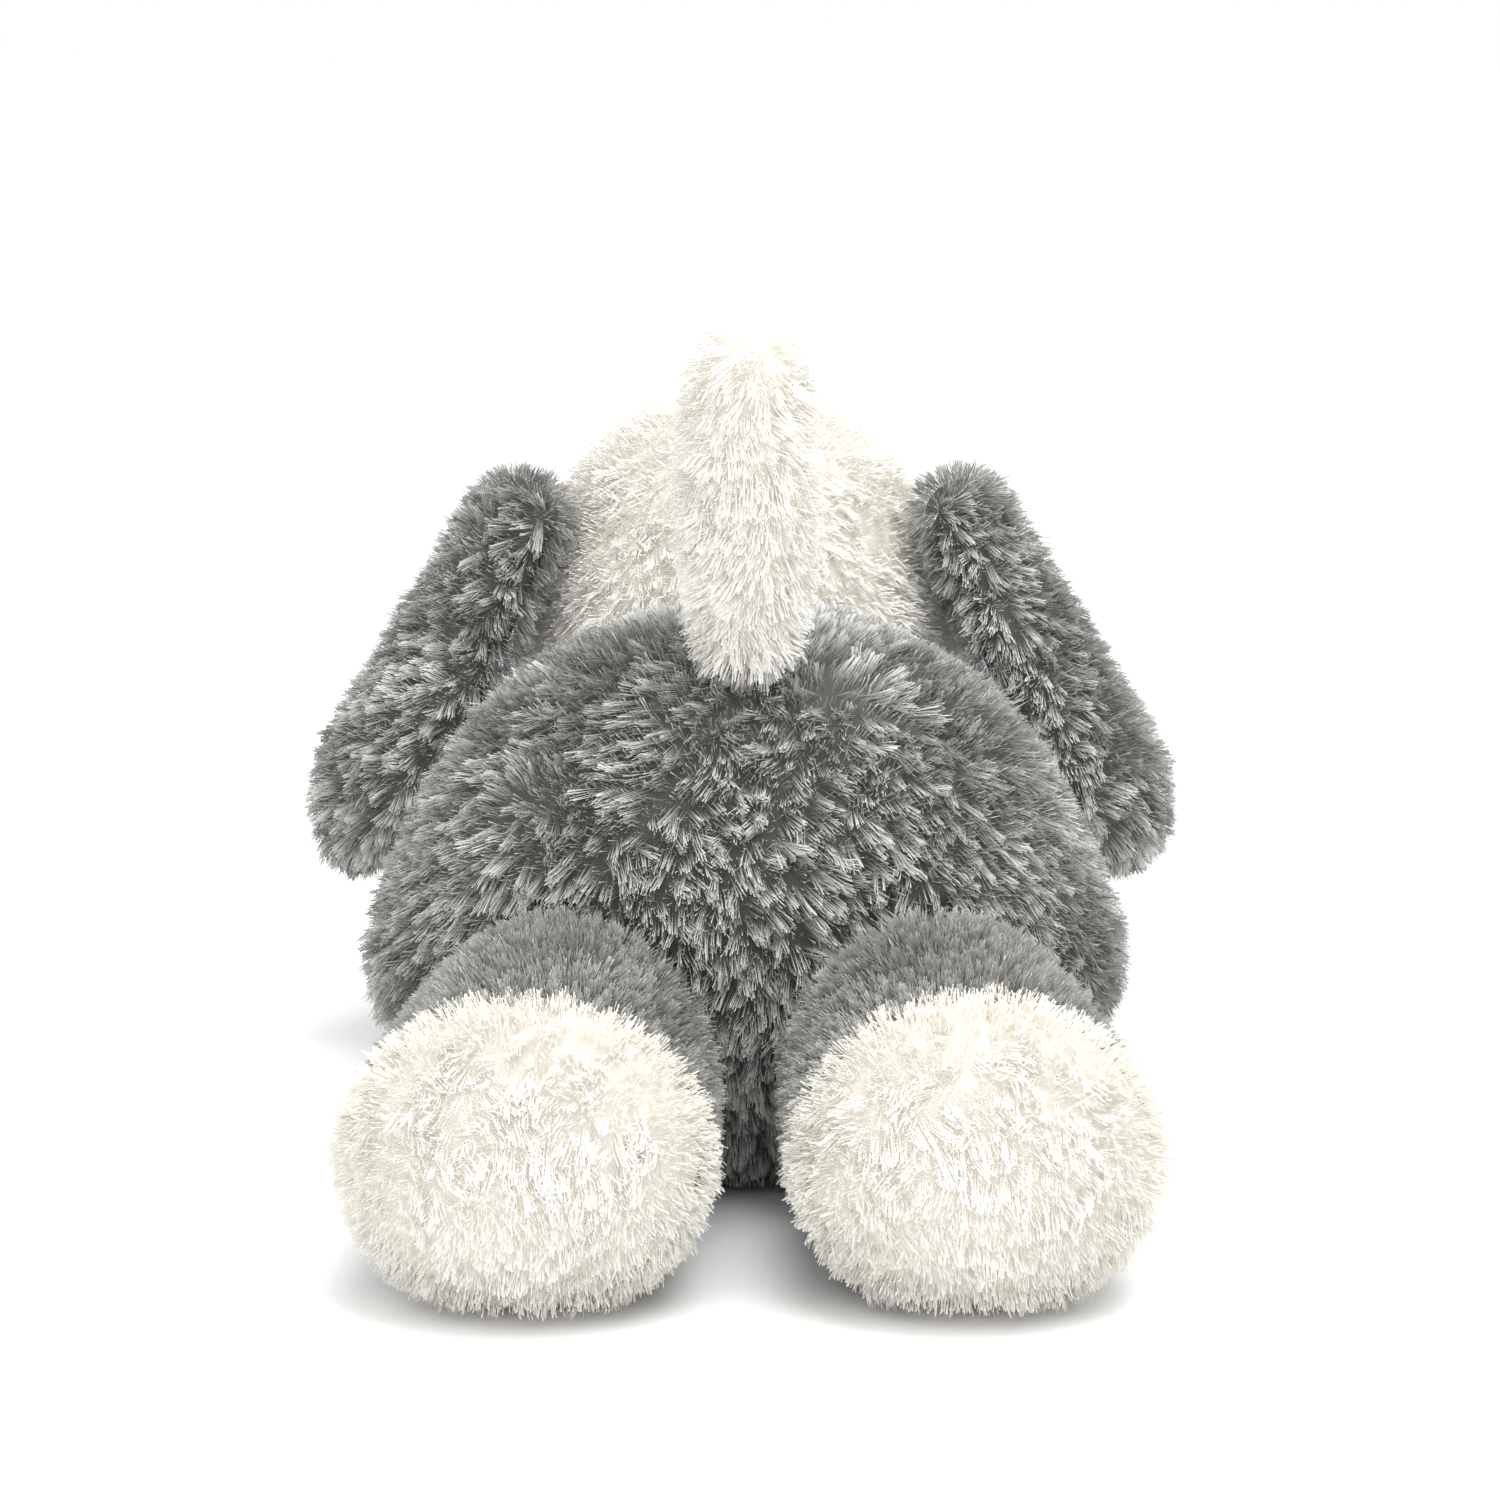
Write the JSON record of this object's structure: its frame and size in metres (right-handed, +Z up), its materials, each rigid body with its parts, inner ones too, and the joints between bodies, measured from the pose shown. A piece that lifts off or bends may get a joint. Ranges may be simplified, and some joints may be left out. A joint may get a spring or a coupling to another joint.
{
  "type": "plush dog",
  "caption": "Floppy long-pile plush dog lying on its belly, grey with pale head, tail and paws, with sewn limbs that flop at their seams.",
  "frame": {"origin": "on the floor under the middle of the dog's length and width", "axes": "+Z up, +Y the way the dog looks, +X towards its right side"},
  "size_m": [0.2154, 0.3745, 0.1974],
  "materials": {
    "grey_pile": "long grey pile",
    "cream_pile": "long cream pile",
    "fibre": "loose fibre",
    "pouch_cloth": "woven cloth",
    "black_plastic": "gloss",
    "nose_plastic": "satin",
    "washer_plastic": "matte"
  },
  "bodies": {
    "body": {"body_cover": "grey_pile", "belly_panel": "grey_pile", "body_stuffing": "fibre", "bean_pouch": "pouch_cloth"},
    "head": {"head_cover": "cream_pile", "head_stuffing": "fibre", "muzzle_cover": "cream_pile", "muzzle_stuffing": "fibre", "nose": "nose_plastic", "nose_washer": "washer_plastic", "eye_left": "black_plastic", "eye_left_washer": "washer_plastic", "eye_right": "black_plastic", "eye_right_washer": "washer_plastic"},
    "left_ear": {"ear_left": "grey_pile", "ear_lining_left": "grey_pile"},
    "right_ear": {"ear_right": "grey_pile", "ear_lining_right": "grey_pile"},
    "tail": {"tail_cover": "cream_pile", "tail_stuffing": "fibre"},
    "left_hind_leg": {"hind_leg_left": "grey_pile", "hind_paw_left": "cream_pile", "hind_leg_left_stuffing": "fibre"},
    "right_hind_leg": {"hind_leg_right": "grey_pile", "hind_paw_right": "cream_pile", "hind_leg_right_stuffing": "fibre"},
    "left_front_leg": {"front_leg_left": "grey_pile", "front_paw_left": "cream_pile", "front_leg_left_stuffing": "fibre"},
    "right_front_leg": {"front_leg_right": "grey_pile", "front_paw_right": "cream_pile", "front_leg_right_stuffing": "fibre"}
  },
  "joints": [
    {"name": "head_nod", "type": "hinge", "parent": "body", "child": "head", "pos_m": [0, 0.10581, 0.1015], "axis": [1, 0, 0], "range_deg": [-15, 15], "stiffness_Nm_per_rad": 0.3},
    {"name": "tail_wag", "type": "hinge", "parent": "body", "child": "tail", "pos_m": [0, -0.05689, 0.12697], "axis": [0, 1, 0], "range_deg": [-25, 25], "stiffness_Nm_per_rad": 0.03},
    {"name": "left_ear_lift", "type": "hinge", "parent": "head", "child": "left_ear", "pos_m": [-0.04208, 0.08863, 0.14063], "axis": [-0.3781, 0.9258, 0], "range_deg": [0, 75]},
    {"name": "right_ear_lift", "type": "hinge", "parent": "head", "child": "right_ear", "pos_m": [0.04208, 0.08863, 0.14063], "axis": [-0.3781, -0.9258, 0], "range_deg": [0, 75]},
    {"name": "left_hind_leg_splay", "type": "hinge", "parent": "body", "child": "left_hind_leg", "pos_m": [-0.0415, -0.09454, 0.034], "axis": [0, 0, -1], "range_deg": [0, 25]},
    {"name": "right_hind_leg_splay", "type": "hinge", "parent": "body", "child": "right_hind_leg", "pos_m": [0.0415, -0.09454, 0.034], "axis": [0, 0, 1], "range_deg": [0, 25]},
    {"name": "left_front_leg_splay", "type": "hinge", "parent": "body", "child": "left_front_leg", "pos_m": [-0.046, 0.09422, 0.027], "axis": [0, 0, 1], "range_deg": [0, 20]},
    {"name": "right_front_leg_splay", "type": "hinge", "parent": "body", "child": "right_front_leg", "pos_m": [0.046, 0.09422, 0.027], "axis": [0, 0, -1], "range_deg": [0, 20]}
  ]
}
